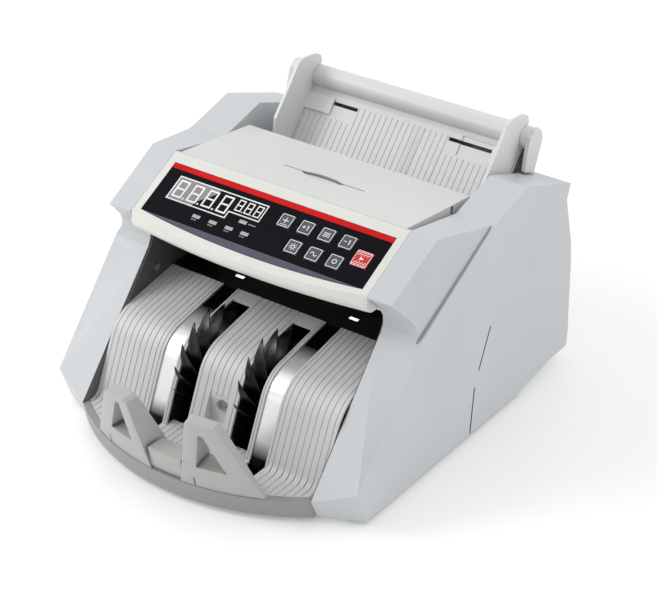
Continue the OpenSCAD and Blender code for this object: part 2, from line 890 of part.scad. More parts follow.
module hopper_tray() {
  half_tray = 104;
  color([0.84, 0.85, 0.85]) {
    difference() {
      in_tray() translate([-half_tray, -tray_len, -tray_t]) cube([2 * half_tray, tray_len, tray_t]);
      in_tray() mirror_x() translate([43, -guide_slot_u - 1.5, -tray_t - 1])
        cube([58, 3, tray_t + 2]);
      in_tray() translate([54, -17, -1]) cube([51, 16.4, 2]);
      mirror_x() in_tray() translate([roller_x - 8, -tray_len - 1, -tray_t - 1])
        cube([16, 27, tray_t + 2]);
      in_tray() for (k = [-18 : 18])
        translate([groove_pitch * k - groove_w / 2, -tray_len - 1, -groove_d])
          cube([groove_w, tray_len - (abs(k) > 8 ? 18 : 3), 2]);
    }
    rod_x(-110, 110, tube_y, tube_z, tube_r);
    along_x(-half_tray, half_tray) polygon([[tray_y, tray_z], [tray_y + 1.9, tray_z - 1.7],
      [146, 184.8], [142, 192]]);
    mirror_x() along_x(110, 113) polygon([
      [132, 172], [134, 186], [138, 198], [144, 202.4], [150, 202], [155, 197], [156, 190],
      [146, 166.5], [136, 170.5]
    ]);
    mirror_x() along_x(104, 110.2) polygon([[144.5, 175], [146.5, 188], [149, 188], [152, 166],
      [143, 169.5]]);
  }
}

// one upright guide drawn in (y, z), clear of the tray and the tube
module guide_outline() {
  difference() {
    polygon([
      [87, 130], [87.4, 165.7], [89.1, 176.7], [104, 194], [118.5, 211.5], [122, 214.2],
      [127, 215], [143, 213.4], [149, 210], [151, 204.4], [143, 189.6], [138.4, 184.9]
    ]);
    translate([tube_y, tube_z]) circle(r = tube_r + 0.4, $fn = 120);
    translate([tray_y, tray_z]) rotate(tray_tilt) translate([-120, -20]) square([140, 20.4]);
    polygon([[tray_y - 0.6, tray_z], [141.4, 192.4], [150, 184], [tray_y, 180]]);
  }
}

module guide(x, pad_len) {
  along_x(x, x + guide_t) guide_outline();
  in_tray() {
    translate([x - pad_len, -16, 0.4]) cube([pad_len + 0.1, 13.5, 1.2]);
    translate([x - pad_len + 4, -guide_slot_u - 1.3, -tray_t - 2]) cube([4, 2.6, tray_t + 3]);
    translate([x - pad_len + 2, -guide_slot_u - 3, -tray_t - 3]) cube([8, 6, 1.8]);
  }
}

module guide_left() {
  color([0.80, 0.81, 0.81]) mirror([1, 0, 0]) guide(guide_left_x, 24);
}

module guide_right() {
  color([0.80, 0.81, 0.81]) guide(guide_right_x, 18);
}

module in_cover() {
  translate([0, cover_y, cover_z]) rotate([-cover_tilt, 0, 0]) children();
}

module top_cover() {
  scoop_r = 40;
  scoop_half = 5.3;
  scoop_tilt = 12.2;
  scoop_pos = [5, 33.3];
  color([0.84, 0.84, 0.83]) in_cover() {
    difference() {
      union() {
        translate([-cover_half, 0, -cover_t / 2]) cube([2 * cover_half, cover_len, cover_t]);
        rod_x(-cover_half, cover_half, 0, 0, cover_t / 2);
        translate([-cover_half, cover_len - 2.5, -9]) cube([2 * cover_half, 2.5, 9]);
        mirror_x() translate([cover_half - 2.5, 6, -7]) cube([2.5, cover_len - 6, 7]);
      }
      translate([scoop_pos[0], scoop_pos[1], 0]) intersection() {
        translate([0, 0, -cover_t]) linear_extrude(2 * cover_t) intersection() {
          translate([0, scoop_r - scoop_half]) circle(r = scoop_r, $fn = 180);
          translate([0, -scoop_r + scoop_half]) circle(r = scoop_r, $fn = 180);
        }
        translate([0, -scoop_half, cover_t / 2]) rotate([-scoop_tilt, 0, 0])
          translate([-30, -4, 0]) cube([60, 24, 8]);
      }
      translate([-32, scoop_pos[1] + 0.4, cover_t / 2 - 0.8]) cube([74, 0.9, 2]);
      translate([cover_half - 3, 56.5, -10]) cube([4, 3.5, 10.6]);
    }
    rod_x(-half_in - pin_reach, half_in + pin_reach, 0, 0, pin_r);
  }
}

module rear_panel() {
  half_rear = half_in - 0.2;
  half_upper = 103.5;
  color([0.82, 0.83, 0.84]) difference() {
    union() {
      box(-half_rear, half_rear, 158, 160.5, foot_h, 108);
      along_x(-half_rear, half_rear) polygon([[158, 108], [160.5, 108], [150.6, 146], [148, 146]]);
      box(-half_upper, half_upper, 148, 150.6, 146, 184.3);
    }
    box(62, 90, 150, 170, 22, 42);
    box(30, 51.4, 150, 170, 24, 38);
    rod_x(29.1, 52.3, rocker_pin[0], rocker_pin[1], 0.85);
    translate([12, 150, 31]) rotate([-90, 0, 0]) cylinder(h = 20, r = 6.1);
    translate([-60, 150, 60]) rotate([-90, 0, 0]) cylinder(h = 20, r = 3.3);
    for (k = [0 : 9]) box(-95, -40, 150, 170, 18 + 3.2 * k, 19.6 + 3.2 * k);
    for (x = [-98, 98], z = [14, 96]) translate([x, 150, z]) rotate([-90, 0, 0])
      cylinder(h = 20, r = 1.7);
  }
}

// a pan-head screw with a crossed recess, its head's seat at the origin, pointing down -Z
module pan_screw(head_r, head_h, shank_r, shank) {
  difference() {
    cylinder(h = head_h, r = head_r);
    for (a = [0, 90]) rotate(a) translate([-head_r * 0.62, -0.35, head_h - 0.9])
      cube([head_r * 1.24, 0.7, 2]);
  }
  translate([0, 0, -shank]) cylinder(h = shank, r = shank_r);
}

module case_screws() {
  color([0.62, 0.63, 0.65]) {
    translate([pocket_screw[0], pocket_y, pocket_screw[1]]) rotate([90, 0, 0])
      pan_screw(4, 2.4, 2, 6);
    mirror_x() translate([chassis_x, wall_screw[0], wall_screw[1]]) rotate([0, -90, 0])
      pan_screw(3, 2, 1.4, plate_steel);
    for (x = [-98, 98], z = [14, 96]) translate([x, 160.5, z]) rotate([-90, 0, 0])
      pan_screw(3.2, 1.8, 1.6, 6);
    for (p = rod_spots) {
      translate([chassis_x, p[0], p[1]]) rotate([0, 90, 0]) cylinder(h = plate_steel, r = 1.9);
      translate([-chassis_x, p[0], p[1]]) rotate([0, -90, 0]) cylinder(h = plate_steel, r = 1.9);
    }
  }
}

module power_inlet() {
  color([0.06, 0.06, 0.07]) difference() {
    union() {
      box(62.1, 89.9, 136, 160.5, 22.1, 41.9);
      box(59, 93, 160.5, 162.5, 20, 44);
    }
    box(65.5, 86.5, 144, 170, 24.8, 39.2);
  }
  color([0.06, 0.06, 0.07]) for (p = [[70, 31], [82, 31], [76, 35.5]])
    translate([p[0] - 1, 143.9, p[1] - 0.5]) cube([2, 13, 3]);
}

module power_rocker() {
  color([0.05, 0.05, 0.05]) {
    translate([0, rocker_pin[0], rocker_pin[1]]) rotate([5, 0, 0]) box(31.4, 50, -6, 4, -5, 5);
    rod_x(29.2, 52.2, rocker_pin[0], rocker_pin[1], 0.8);
  }
}

module fuse_holder() {
  color([0.07, 0.07, 0.08]) translate([12, 160.5, 31]) rotate([90, 0, 0]) {
    cylinder(h = 30, r = 6);
    translate([0, 0, -4]) difference() {
      cylinder(h = 4, r = 8);
      translate([-6, -0.6, -1]) cube([12, 1.2, 2.2]);
    }
  }
}

module gap_knob() {
  knob_h = 13.34;
  color([0.12, 0.12, 0.13]) translate([-60, 160.8, 60]) rotate([-90, 0, 0]) {
    cylinder(h = knob_h - 0.8, r = 7, $fn = 48);
    translate([0, 0, -14]) cylinder(h = 14, r = 3.25);
    translate([-0.8, -6.6, knob_h - 2]) cube([1.6, 6.6, 2]);
  }
}

module transformer() {
  color([0.35, 0.30, 0.22]) {
    box(-50, 8, 84, 128, slab_top, 50);
    box(-58, 16, 98, 114, slab_top, 9);
    box(-42, 0, 76, 84, 14, 44);
    box(-42, 0, 128, 136, 14, 44);
  }
}

module main_board() {
  color([0.10, 0.32, 0.18]) {
    box(-98, -56, 40, 136, 12, 13.6);
    for (x = [-94, -60], y = [44, 132]) translate([x, y, slab_top])
      cylinder(h = 12 - slab_top, r = 2.4);
    box(-92, -78, 60, 84, 13.6, 17);
    box(-72, -62, 56, 74, 13.6, 26);
    for (x = [-90, -80, -70]) translate([x, 116, 13.6]) cylinder(h = 14, r = 4);
  }
}

module rubber_feet() {
  color([0.09, 0.09, 0.09]) mirror_x() for (y = [-105, 135]) translate([88, y, 0]) {
    cylinder(h = foot_h, r = foot_r);
    cylinder(h = slab_top, r = 2.6);
  }
}

base_pan();
stacker_deck();
side_cover_left();
side_cover_right();
rear_panel();
chassis_plate_left();
chassis_plate_right();
tie_rods();
control_bezel();
panel_overlay();
display_window();
indicator_windows();
display_board();
key_add();
key_plus();
key_batch();
key_minus();
key_ir();
key_uv();
key_clear();
key_start();
sensor_bar();
lamp_windows();
stacker_plate_left();
stacker_plate_right();
stacker_plate_centre();
chute_strips();
wheel_wells();
note_stops();
stacker_shaft();
impeller_left();
impeller_right();
stacker_pulley();
count_shaft();
count_tyres();
count_pulleys();
feed_shaft();
feed_tyres();
feed_pulley();
bearings();
main_motor();
main_motor_pulley();
stacker_motor();
stacker_motor_pulley();
feed_belt();
main_belt();
stacker_belt();
hopper_tray();
guide_left();
guide_right();
top_cover();
transformer();
main_board();
power_inlet();
power_rocker();
fuse_holder();
gap_knob();
rubber_feet();
case_screws();
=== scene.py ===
import json
import math
import bmesh
import bpy
from mathutils import Matrix, Vector


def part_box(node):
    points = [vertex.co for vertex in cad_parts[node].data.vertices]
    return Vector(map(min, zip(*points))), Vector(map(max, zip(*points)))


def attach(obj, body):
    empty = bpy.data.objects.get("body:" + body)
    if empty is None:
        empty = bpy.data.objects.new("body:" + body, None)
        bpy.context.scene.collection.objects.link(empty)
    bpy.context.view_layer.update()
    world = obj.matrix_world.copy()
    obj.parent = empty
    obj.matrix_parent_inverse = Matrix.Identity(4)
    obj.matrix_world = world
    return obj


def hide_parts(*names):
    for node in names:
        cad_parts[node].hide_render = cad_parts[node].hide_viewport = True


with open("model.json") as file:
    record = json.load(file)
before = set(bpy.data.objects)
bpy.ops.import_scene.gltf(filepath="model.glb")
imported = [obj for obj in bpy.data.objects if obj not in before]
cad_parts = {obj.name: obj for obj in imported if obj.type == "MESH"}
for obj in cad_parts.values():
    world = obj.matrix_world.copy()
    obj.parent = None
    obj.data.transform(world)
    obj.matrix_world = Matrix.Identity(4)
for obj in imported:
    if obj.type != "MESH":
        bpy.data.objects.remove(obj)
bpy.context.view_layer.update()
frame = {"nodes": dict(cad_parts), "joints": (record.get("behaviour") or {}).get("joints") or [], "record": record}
NODES = frame["nodes"]
MM = 0.001


# ---------------------------------------------------------------- camera, light, floor
CAMERA_AT = Vector((0.77804, -1.03045, 0.84503))
CAMERA_AZIMUTH = math.radians(36.117)
CAMERA_ELEVATION = math.radians(30.552)
CAMERA_LENS = 108.21
LIT_POINT = Vector((0, 0, 0.08))
WORLD_STRENGTH = 0.8
FLOOR_HALF = 6.0
FLOOR_GLOW = 0.2


def add_camera():
    data = bpy.data.cameras.new("camera")
    data.sensor_width = 36
    data.lens = CAMERA_LENS
    data.clip_start = 0.01
    data.clip_end = 20
    camera = bpy.data.objects.new("camera", data)
    bpy.context.scene.collection.objects.link(camera)
    back = Vector((
        math.sin(CAMERA_AZIMUTH) * math.cos(CAMERA_ELEVATION),
        -math.cos(CAMERA_AZIMUTH) * math.cos(CAMERA_ELEVATION),
        math.sin(CAMERA_ELEVATION),
    ))
    camera.location = CAMERA_AT
    camera.rotation_mode = "QUATERNION"
    camera.rotation_quaternion = (-back).to_track_quat("-Z", "Y")
    bpy.context.scene.camera = camera


def add_area_light(name, at, size, power):
    """A rectangular light that faces the middle of the machine."""
    data = bpy.data.lights.new(name, "AREA")
    data.shape = "RECTANGLE"
    data.size, data.size_y = size
    data.energy = power
    light = bpy.data.objects.new(name, data)
    bpy.context.scene.collection.objects.link(light)
    light.location = at
    light.rotation_mode = "QUATERNION"
    light.rotation_quaternion = (LIT_POINT - Vector(at)).to_track_quat("-Z", "Y")


def add_lights():
    add_area_light("key_light", (-1.3, -0.9, 1.25), (0.9, 0.9), 13)
    add_area_light("top_light", (0.3, 0.9, 1.7), (1.6, 1.2), 2)
    add_area_light("right_fill", (2.0, 0.6, 0.9), (1.0, 1.4), 1.6)
    add_area_light("front_card", (-0.85, -1.42, 0.42), (1.1, 0.5), 1.8)
    add_world()
    bpy.context.scene.view_settings.view_transform = "Standard"


def add_world():
    """A white studio that is bright behind and above, and falls off low in front."""
    world = bpy.data.worlds.new("studio")
    world.use_nodes = True
    nodes, links = world.node_tree.nodes, world.node_tree.links
    background = nodes["Background"]
    split = nodes.new("ShaderNodeSeparateXYZ")
    links.new(nodes.new("ShaderNodeTexCoord").outputs["Generated"], split.inputs["Vector"])
    sides = []
    for axis, low, high, dark in (("Y", -0.6, 0.15, 0.06), ("Z", 0.15, 0.6, 0.0)):
        span = nodes.new("ShaderNodeMapRange")
        span.inputs["From Min"].default_value = low
        span.inputs["From Max"].default_value = high
        span.inputs["To Min"].default_value = dark
        span.inputs["To Max"].default_value = WORLD_STRENGTH
        links.new(split.outputs[axis], span.inputs["Value"])
        sides.append(span.outputs["Result"])
    brighter = nodes.new("ShaderNodeMath")
    brighter.operation = "MAXIMUM"
    links.new(sides[0], brighter.inputs[0])
    links.new(sides[1], brighter.inputs[1])
    links.new(brighter.outputs["Value"], background.inputs["Strength"])
    background.inputs["Color"].default_value = (1, 1, 1, 1)
    bpy.context.scene.world = world


def add_floor():
    mesh = bpy.data.meshes.new("floor")
    corners = [(sx * FLOOR_HALF, sy * FLOOR_HALF, 0)
               for sx, sy in ((-1, -1), (1, -1), (1, 1), (-1, 1))]
    mesh.from_pydata(corners, [], [(0, 1, 2, 3)])
    floor = bpy.data.objects.new("floor", mesh)
    bpy.context.scene.collection.objects.link(floor)
    mesh.materials.append(floor_material())


# ---------------------------------------------------------------- materials
class Tree:
    """A material's node tree, with short calls for the nodes that the surfaces here use."""

    def __init__(self, name):
        self.material = bpy.data.materials.new(name)
        self.material.use_nodes = True
        self.nodes = self.material.node_tree.nodes
        self.links = self.material.node_tree.links
        self.shader = self.nodes["Principled BSDF"]
        self.place = self.nodes.new("ShaderNodeTexCoord").outputs["Object"]

    def link(self, out, into):
        self.links.new(out, into)

    def set(self, **values):
        for key, value in values.items():
            self.shader.inputs[key.replace("_", " ")].default_value = value

    def stretched(self, scale, turn=(0, 0, 0)):
        mapping = self.nodes.new("ShaderNodeMapping")
        mapping.inputs["Scale"].default_value = scale
        mapping.inputs["Rotation"].default_value = turn
        self.link(self.place, mapping.inputs["Vector"])
        return mapping.outputs["Vector"]

    def noise(self, scale, detail=3.0, rough=0.5, vector=None):
        noise = self.nodes.new("ShaderNodeTexNoise")
        noise.inputs["Scale"].default_value = scale
        noise.inputs["Detail"].default_value = detail
        noise.inputs["Roughness"].default_value = rough
        self.link(vector or self.place, noise.inputs["Vector"])
        return noise.outputs["Fac"]

    def spread(self, value, low, high, from_low=0.3, from_high=0.7):
        span = self.nodes.new("ShaderNodeMapRange")
        span.inputs["From Min"].default_value = from_low
        span.inputs["From Max"].default_value = from_high
        span.inputs["To Min"].default_value = low
        span.inputs["To Max"].default_value = high
        self.link(value, span.inputs["Value"])
        return span.outputs["Result"]

    def mix(self, fac, first, second):
        mix = self.nodes.new("ShaderNodeMix")
        mix.data_type = "RGBA"
        self.link(fac, mix.inputs[0])
        for value, socket in ((first, mix.inputs[6]), (second, mix.inputs[7])):
            if isinstance(value, tuple):
                socket.default_value = (*value, 1)
            else:
                self.link(value, socket)
        return mix.outputs[2]

    def math(self, operation, first, second=None, clamp=False):
        node = self.nodes.new("ShaderNodeMath")
        node.operation = operation
        node.use_clamp = clamp
        for value, socket in ((first, node.inputs[0]), (second, node.inputs[1])):
            if value is None:
                continue
            if isinstance(value, (int, float)):
                socket.default_value = value
            else:
                self.link(value, socket)
        return node.outputs["Value"]

    def bump(self, *heights):
        """Each height is (value, strength, distance in metres). They are stacked in order."""
        normal = None
        for value, strength, distance in heights:
            bump = self.nodes.new("ShaderNodeBump")
            bump.inputs["Strength"].default_value = strength
            bump.inputs["Distance"].default_value = distance
            self.link(value, bump.inputs["Height"])
            if normal:
                self.link(normal, bump.inputs["Normal"])
            normal = bump.outputs["Normal"]
        self.link(normal, self.shader.inputs["Normal"])

    def colour(self, value):
        self.link(value, self.shader.inputs["Base Color"])

    def rough(self, value):
        self.link(value, self.shader.inputs["Roughness"])


def shade(colour, amount):
    return tuple(max(0.0, min(1.0, c * amount)) for c in colour)


GRAIN_SCALE = 1500
DUST = 0.05
HOLLOW_REACH = 0.004


def moulded_plastic(name, colour, rough=0.42, grain=0.12, crease_shade=0.0):
    """Injection-moulded plastic: spark-eroded grain, faint flow mottling and handling marks.

    Grooves and gaps that are shut in within HOLLOW_REACH metres are darkened with painted shade, by the amount
    that the last argument gives."""
    tree = Tree(name)
    mottling = tree.spread(tree.noise(14, 4), 0, 1)
    flow = tree.spread(tree.noise(1, 3, vector=tree.stretched((9, 40, 22))), 0, 1)
    base = tree.mix(mottling, shade(colour, 0.965), shade(colour, 1.02))
    base = tree.mix(tree.math("MULTIPLY", flow, DUST), base, shade(colour, 0.8))
    fine = tree.noise(GRAIN_SCALE, 2)
    base = tree.mix(tree.spread(fine, 0, 0.10), base, shade(colour, 0.86))
    # painted shade: ambient occlusion darkens shut-in grooves and gaps towards a near-black copy of the colour
    if crease_shade:
        hollow = tree.nodes.new("ShaderNodeAmbientOcclusion")
        hollow.inputs["Distance"].default_value = HOLLOW_REACH
        shut = tree.spread(hollow.outputs["AO"], crease_shade, 0.0, 0.45, 0.95)
        base = tree.mix(shut, base, shade(colour, 0.12))
    tree.colour(base)
    scuffs = tree.noise(1, 5, 0.7, tree.stretched((60, 260, 130), (0.4, 0.2, 0.6)))
    wear = tree.spread(tree.noise(7, 4), rough - 0.05, rough + 0.07)
    tree.rough(tree.math("ADD", wear, tree.spread(scuffs, 0, 0.06, 0.55, 0.75), clamp=True))
    tree.bump((fine, grain, 0.0001), (tree.noise(120, 2), 0.05, 0.0002))
    tree.set(**{"IOR": 1.5, "Specular_IOR_Level": 0.5})
    return tree.material


def glossy_plastic(name, colour, rough=0.22, coat=0.25, level=0.5):
    """Smooth plastic, film or ink with faint wiping marks. level is its mirror-like strength."""
    tree = Tree(name)
    tree.colour(tree.mix(tree.spread(tree.noise(30, 4), 0, 1),
                         shade(colour, 0.9), shade(colour, 1.1)))
    smears = tree.noise(1, 4, 0.6, tree.stretched((30, 90, 50), (0.2, 0.5, 0.3)))
    tree.rough(tree.spread(smears, rough - 0.06, rough + 0.1))
    tree.bump((tree.noise(380, 2), 0.03, 0.0001))
    tree.set(**{"Coat_Weight": coat, "Coat_Roughness": 0.1, "Specular_IOR_Level": level})
    return tree.material


def rubber(name, colour, rough=0.62):
    tree = Tree(name)
    dusty = tree.spread(tree.noise(45, 5, 0.6), 0, 1)
    tree.colour(tree.mix(dusty, shade(colour, 0.8), shade(colour, 1.7)))
    tree.rough(tree.spread(tree.noise(90, 4), rough - 0.1, rough + 0.1))
    tree.bump((tree.noise(900, 3), 0.18, 0.0002), (tree.noise(110, 3), 0.08, 0.0004))
    return tree.material


def ground_metal(name, colour, rough=0.28):
    """Metal with fine brush lines along X and slight tarnish."""
    tree = Tree(name)
    lines = tree.noise(1, 3, 0.6, tree.stretched((20, 900, 900)))
    tarnish = tree.spread(tree.noise(35, 5, 0.6), 0, 1)
    tree.colour(tree.mix(tarnish, shade(colour, 0.86), shade(colour, 1.05)))
    tree.rough(tree.spread(lines, rough - 0.07, rough + 0.1))
    tree.bump((lines, 0.06, 0.0001))
    tree.set(**{"Metallic": 1.0, "Anisotropic": 0.3})
    return tree.material


# heights in metres over which the strips' painted shade fades from black to bright and back
STRIP_FOOT = (0.022, 0.034)
STRIP_TOP = (0.0815, 0.0845)


def polished_strip(name):
    """Bright sheet with painted shade: coloured near black where it runs up under the sensors and down to the
    deck.
    """
    tree = Tree(name)
    split = tree.nodes.new("ShaderNodeSeparateXYZ")
    tree.link(tree.place, split.inputs["Vector"])
    high = split.outputs["Z"]
    foot = tree.spread(high, 0.0, 1.0, *STRIP_FOOT)
    top = tree.spread(high, 1.0, 0.0, *STRIP_TOP)
    bright = tree.math("MULTIPLY", foot, top)
    tarnish = tree.spread(tree.noise(35, 5, 0.6), 0, 1)
    sheet = tree.mix(tarnish, (0.95, 0.95, 0.95), (0.97, 0.97, 0.97))
    # painted shade: near black below STRIP_FOOT and above STRIP_TOP, where the strip runs into shade
    tree.colour(tree.mix(bright, (0.004, 0.004, 0.004), sheet))
    tree.rough(tree.spread(tree.noise(30, 2), 0.24, 0.28))
    tree.bump((tree.noise(60, 1), 0.01, 0.0001))
    tree.set(**{"Metallic": 0.6})
    return tree.material


def lit_window(name):
    """A small window made to glow so that it reads bright white: painted light."""
    tree = Tree(name)
    glow = tree.spread(tree.noise(300, 2), 0.9, 1.1)
    tree.colour(tree.mix(glow, (0.8, 0.8, 0.8), (0.95, 0.95, 0.95)))
    # painted light: emission makes the window glow bright white
    tree.link(glow, tree.shader.inputs["Emission Strength"])
    tree.set(**{"Emission_Color": (1, 1, 1, 1), "Roughness": 0.4})
    return tree.material


def painted_metal(name, colour, rough=0.5):
    """Powder coat: orange peel over sheet steel."""
    tree = Tree(name)
    tree.colour(tree.mix(tree.spread(tree.noise(60, 4), 0, 1),
                         shade(colour, 0.85), shade(colour, 1.12)))
    tree.rough(tree.spread(tree.noise(220, 3), rough - 0.08, rough + 0.08))
    tree.bump((tree.noise(700, 3), 0.2, 0.0002))
    return tree.material


def floor_material():
    tree = Tree("floor_paper")
    tree.colour(tree.mix(tree.spread(tree.noise(3, 3), 0, 1),
                         (0.90, 0.90, 0.90), (0.93, 0.93, 0.93)))
    tree.rough(tree.spread(tree.noise(40, 3), 0.30, 0.42))
    tree.bump((tree.noise(500, 2), 0.02, 0.0001))
    tree.set(**{"Emission_Color": (1, 1, 1, 1), "Emission_Strength": FLOOR_GLOW})
    return tree.material


MATERIALS = {
    "housing": moulded_plastic("housing_plastic", (0.65, 0.672, 0.69), crease_shade=0.85),
    "cover": moulded_plastic("cover_plastic", (0.745, 0.75, 0.735), rough=0.36, grain=0.06,
                             crease_shade=0.9),
    "bezel": moulded_plastic("bezel_plastic", (0.82, 0.82, 0.775), rough=0.3, grain=0.04),
    "plate": moulded_plastic("plate_plastic", (0.68, 0.685, 0.68), rough=0.38, grain=0.05),
    "deck": moulded_plastic("deck_plastic", (0.66, 0.665, 0.66), rough=0.42, grain=0.05),
    # painted shade: the base is darker partly for its own darker grey and partly as painted shade low in front;
    # the stops are darker as painted shade
    "base": moulded_plastic("base_plastic_dark_and_shaded", (0.34, 0.345, 0.34), rough=0.45),
    "stops": moulded_plastic("stop_plastic_shaded", (0.50, 0.50, 0.485), rough=0.42, crease_shade=0.6),
    # painted light: the guides and tray are lighter copies of the grey plastic, so that their faces read lit
    "guide": moulded_plastic("guide_plastic_lit", (0.84, 0.85, 0.85), rough=0.4),
    "tray": moulded_plastic("tray_plastic_lit", (0.78, 0.79, 0.79), rough=0.4),
    "overlay": glossy_plastic("overlay_film", (0.005, 0.0045, 0.008), 0.5, 0.0, 0.07),
    "window": glossy_plastic("window_film", (0.003, 0.003, 0.003), 0.4, 0.0, 0.1),
    "indicator": glossy_plastic("indicator_film", (0.45, 0.47, 0.52)),
    "key_grey": glossy_plastic("key_grey_film", (0.105, 0.112, 0.135), 0.5, 0.0, 0.15),
    "key_red": glossy_plastic("key_red_film", (0.70, 0.05, 0.045), 0.5, 0.0, 0.15),
    "sensor_black": glossy_plastic("sensor_black_plastic", (0.006, 0.006, 0.007), rough=0.3),
    "liner": rubber("liner_black", (0.004, 0.004, 0.004), rough=0.7),
    "wheel_rubber": rubber("wheel_rubber", (0.0022, 0.0022, 0.003), rough=0.34),
    "lamp": lit_window("glowing_window"),
    "tyre_rubber": rubber("tyre_rubber", (0.03, 0.03, 0.033)),
    "strip": polished_strip("polished_strip"),
    "shaft_steel": ground_metal("shaft_steel", (0.58, 0.59, 0.60)),
    "pulley": moulded_plastic("pulley_plastic", (0.03, 0.03, 0.032), rough=0.45),
    "belt": rubber("belt_rubber", (0.015, 0.015, 0.015)),
    "bronze": ground_metal("sintered_bronze", (0.50, 0.36, 0.17), rough=0.4),
    "chassis": painted_metal("chassis_paint", (0.11, 0.11, 0.115)),
    "motor": painted_metal("motor_paint", (0.16, 0.165, 0.18)),
    "board": glossy_plastic("board_mask", (0.01, 0.09, 0.035)),
    "transformer": painted_metal("transformer_varnish", (0.10, 0.07, 0.035)),
    "fitting": moulded_plastic("fitting_plastic", (0.014, 0.014, 0.016), rough=0.4),
    "foot": rubber("foot_rubber", (0.02, 0.02, 0.02)),
    "ink_red": glossy_plastic("ink_red", (0.66, 0.010, 0.009), 0.5, 0.0, 0.1),
    "ink_white": glossy_plastic("ink_white", (0.92, 0.92, 0.92), 0.5, 0.0, 0.2),
    "ink_grey": glossy_plastic("ink_grey", (0.55, 0.55, 0.57), 0.5, 0.0, 0.2),
    # painted highlight: grey film for the reflection on the display window
    "window_highlight_paint": glossy_plastic("window_highlight_paint", (0.30, 0.30, 0.31), 0.5, 0.0, 0.15),
    "ink_slate": glossy_plastic("ink_slate", (0.105, 0.112, 0.15), 0.5, 0.0, 0.15),
    "screw": ground_metal("zinc_screw", (0.55, 0.54, 0.52), rough=0.3),
}
# nodes whose colour differs from the others in their material slot: base_pan is darker partly as painted shade,
# note_stops are darker as painted shade, and the guides and hopper_tray are lighter as painted light
BY_NODE = {"stacker_deck": "deck", "note_stops": "stops", "base_pan": "base", "guide_left": "guide",
           "guide_right": "guide", "top_cover": "cover", "hopper_tray": "tray"}


def dress_nodes():
    slots = {part["node"]: part["material_slot"] for part in frame["record"]["subparts"]}
    for name, obj in NODES.items():
        material = MATERIALS.get(BY_NODE.get(name) or slots[name])
        if not obj.material_slots:
            obj.data.materials.append(material)
        for material_slot in obj.material_slots:
            material_slot.material = material


EDGE_RADII = {
    "side_cover_left": 1.6, "side_cover_right": 1.6, "base_pan": 0.6, "control_bezel": 0.8,
    "top_cover": 0.7, "hopper_tray": 0.5, "note_stops": 0.8, "guide_left": 0.7,
    "guide_right": 0.7, "rear_panel": 0.4,
}


def round_edges(name, width):
    """Rounds the sharp edges of one CAD node by width mm, with modifiers only."""
    obj = NODES[name]
    weld = obj.modifiers.new("weld", "WELD")
    weld.merge_threshold = 0.00001
    bevel = obj.modifiers.new("round", "BEVEL")
    bevel.limit_method = "ANGLE"
    bevel.angle_limit = math.radians(25)
    bevel.width = width * MM
    bevel.segments = 3
    bevel.use_clamp_overlap = True
    bevel.harden_normals = True
    bevel.miter_outer = "MITER_ARC"


# ---------------------------------------------------------------- mesh helpers
def add_piece(name, bm, material, body, replaced=(), smooth=True):
    bmesh.ops.recalc_face_normals(bm, faces=bm.faces)
    mesh = bpy.data.meshes.new(name)
    bm.to_mesh(mesh)
    bm.free()
    mesh.polygons.foreach_set("use_smooth", [smooth] * len(mesh.polygons))
    mesh.materials.append(MATERIALS[material])
    obj = bpy.data.objects.new(name, mesh)
    bpy.context.scene.collection.objects.link(obj)
    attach(obj, body)
    if replaced:
        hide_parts(*replaced)


def skin_rings(bm, rings, closed_ends=True):
    """Faces between equal rings of points, with the two end rings capped."""
    loops = [[bm.verts.new(p) for p in ring] for ring in rings]
    count = len(loops[0])
    for one, two in zip(loops, loops[1:]):
        for i in range(count):
            j = (i + 1) % count
            bm.faces.new((one[i], one[j], two[j], two[i]))
    if closed_ends:
        bm.faces.new(loops[0])
        bm.faces.new(loops[-1][::-1])


def circle(radius, steps):
    return [(radius * math.cos(math.tau * i / steps), radius * math.sin(math.tau * i / steps))
            for i in range(steps)]


def rounded_square(half_w, half_h, radius, steps=6):
    points = []
    for sx, sy, start in ((1, 1, 0), (-1, 1, 90), (-1, -1, 180), (1, -1, 270)):
        for i in range(steps + 1):
            a = math.radians(start + 90 * i / steps)
            points.append((sx * (half_w - radius) + radius * math.cos(a),
                           sy * (half_h - radius) + radius * math.sin(a)))
    return points


# ---------------------------------------------------------------- the panel's own plane
PANEL_NORMAL = next(Vector(j["axis"]) for j in frame["joints"] if j["name"] == "key_add_press")
PANEL_TILT = math.atan2(-PANEL_NORMAL.y, PANEL_NORMAL.z)
OVERLAY_TOP = 9.4
OVERLAY_THICK = 0.8
OVERLAY_HALF = 100.8
OVERLAY_BOW = 788.0
OVERLAY_BOTTOM = 62.6
SLATE_TOP = 56.4
STRIPE_FOOT = 14.2
PRINT_LIFT = 0.05
PRINT_THICK = 0.05


def panel_frame():
    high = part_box("panel_overlay")[1]
    sine, cosine = math.sin(PANEL_TILT), math.cos(PANEL_TILT)
    crease = Vector((
        0,
        high.y + (OVERLAY_TOP * cosine - OVERLAY_THICK * sine) * MM,
        high.z + OVERLAY_TOP * sine * MM,
    ))
    return Matrix.Translation(crease) @ Matrix.Rotation(PANEL_TILT, 4, "X")


PANEL = panel_frame()


def on_panel(x, s, h=0.0):
    """x across the panel, s down its slope from the crease and h above it, all in mm."""
    return PANEL @ (Vector((x, -s, h)) * MM)


